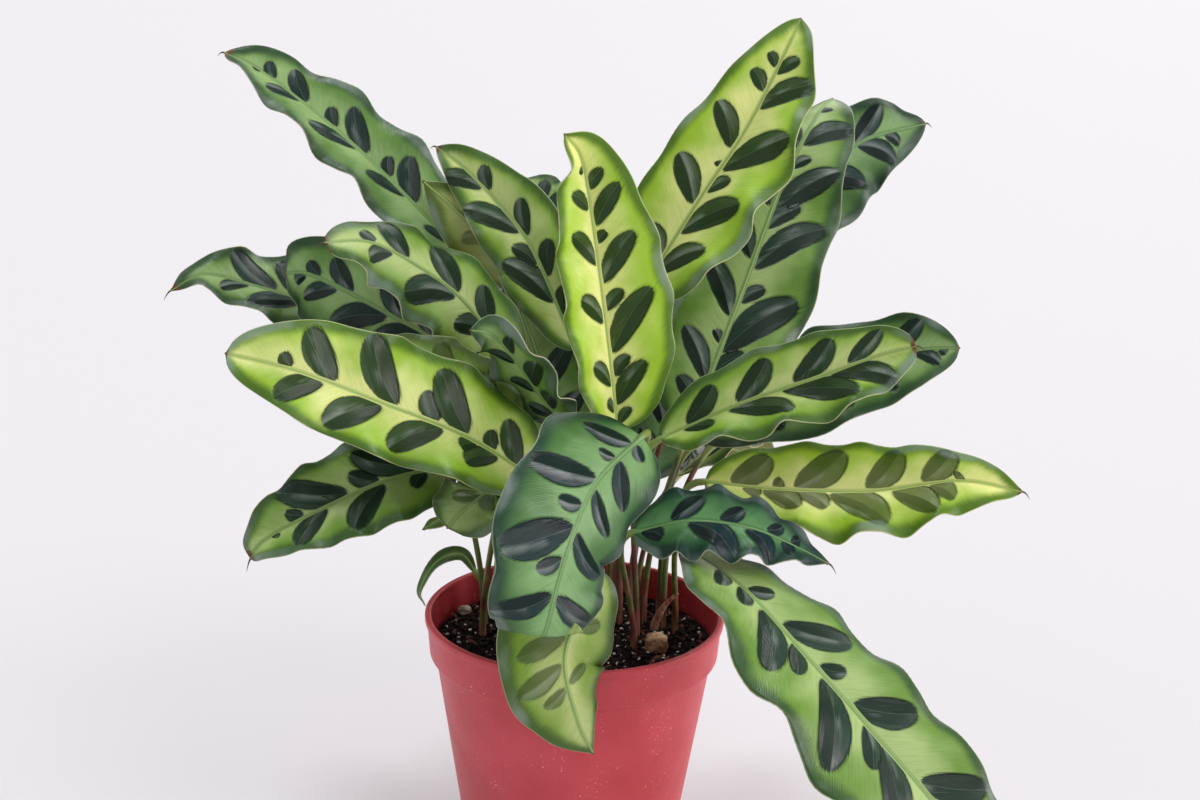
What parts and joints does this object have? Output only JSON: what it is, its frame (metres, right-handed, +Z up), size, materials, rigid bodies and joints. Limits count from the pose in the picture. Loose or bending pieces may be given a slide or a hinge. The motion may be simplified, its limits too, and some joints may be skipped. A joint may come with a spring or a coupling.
{
  "type": "potted rattlesnake plant",
  "caption": "Potted prayer plant with long waved, spotted leaves on slim stalks in a red nursery pot; stands on a table or shelf.",
  "frame": {"origin": "centre of the pot's underside, on the surface it stands on", "axes": "+Z up; -Y is the front, where the viewer stands; +X to the viewer's right"},
  "size_m": [0.3384, 0.2649, 0.3414],
  "materials": {
    "pot_red": "thin moulded nursery-pot plastic, satin, with fine pale specks and scuffs",
    "soil": "dark crumbly peat with pale perlite and bark",
    "leaf_dark": "waxy mature leaf, mid green with dark blue-green ovals, maroon underneath",
    "leaf_bright": "waxy young leaf, yellow-green with dark olive ovals, paler green underneath",
    "leaf_rolled": "pale olive new leaf, still half rolled",
    "dry_stem": "dry papery plant matter",
    "stone": "rough pebble"
  },
  "bodies": {
    "root": {"pot": "pot_red", "soil": "soil", "leaf_upper_left": "leaf_dark", "leaf_upper_centre_left": "leaf_dark", "leaf_centre_bright": "leaf_bright", "leaf_upper_right_bright": "leaf_bright", "leaf_right_dark_tall": "leaf_dark", "leaf_right_back": "leaf_dark", "leaf_left_far": "leaf_dark", "leaf_left_behind": "leaf_dark", "leaf_left_light": "leaf_dark", "leaf_left_large": "leaf_dark", "leaf_small_centre_left": "leaf_dark", "leaf_left_lower": "leaf_dark", "leaf_front": "leaf_dark", "leaf_front_lower": "leaf_bright", "leaf_right": "leaf_dark", "leaf_right_behind": "leaf_dark", "leaf_right_yellow": "leaf_bright", "leaf_right_lower_small": "leaf_dark", "leaf_right_drooping": "leaf_dark", "leaf_half_rolled": "leaf_rolled", "leaf_far_back_centre": "leaf_dark", "leaf_left_half_hidden": "leaf_dark", "leaf_centre_left_behind": "leaf_dark", "leaf_left_lower_small": "leaf_dark", "leaf_left_sliver": "leaf_dark", "leaf_tiny_curled": "leaf_dark", "leaf_back_left_high": "leaf_dark", "leaf_back_centre_high": "leaf_bright", "leaf_back_right_high": "leaf_dark", "leaf_back_left": "leaf_dark", "leaf_back_left_low": "leaf_dark", "leaf_back_centre_low": "leaf_dark", "leaf_back_middle": "leaf_dark", "leaf_back_right_low": "leaf_bright", "leaf_back_right": "leaf_dark", "dry_sheath_right": "dry_stem", "dry_sheath_left": "dry_stem", "rhizome_stub": "dry_stem", "pebble": "stone"}
  },
  "joints": []
}
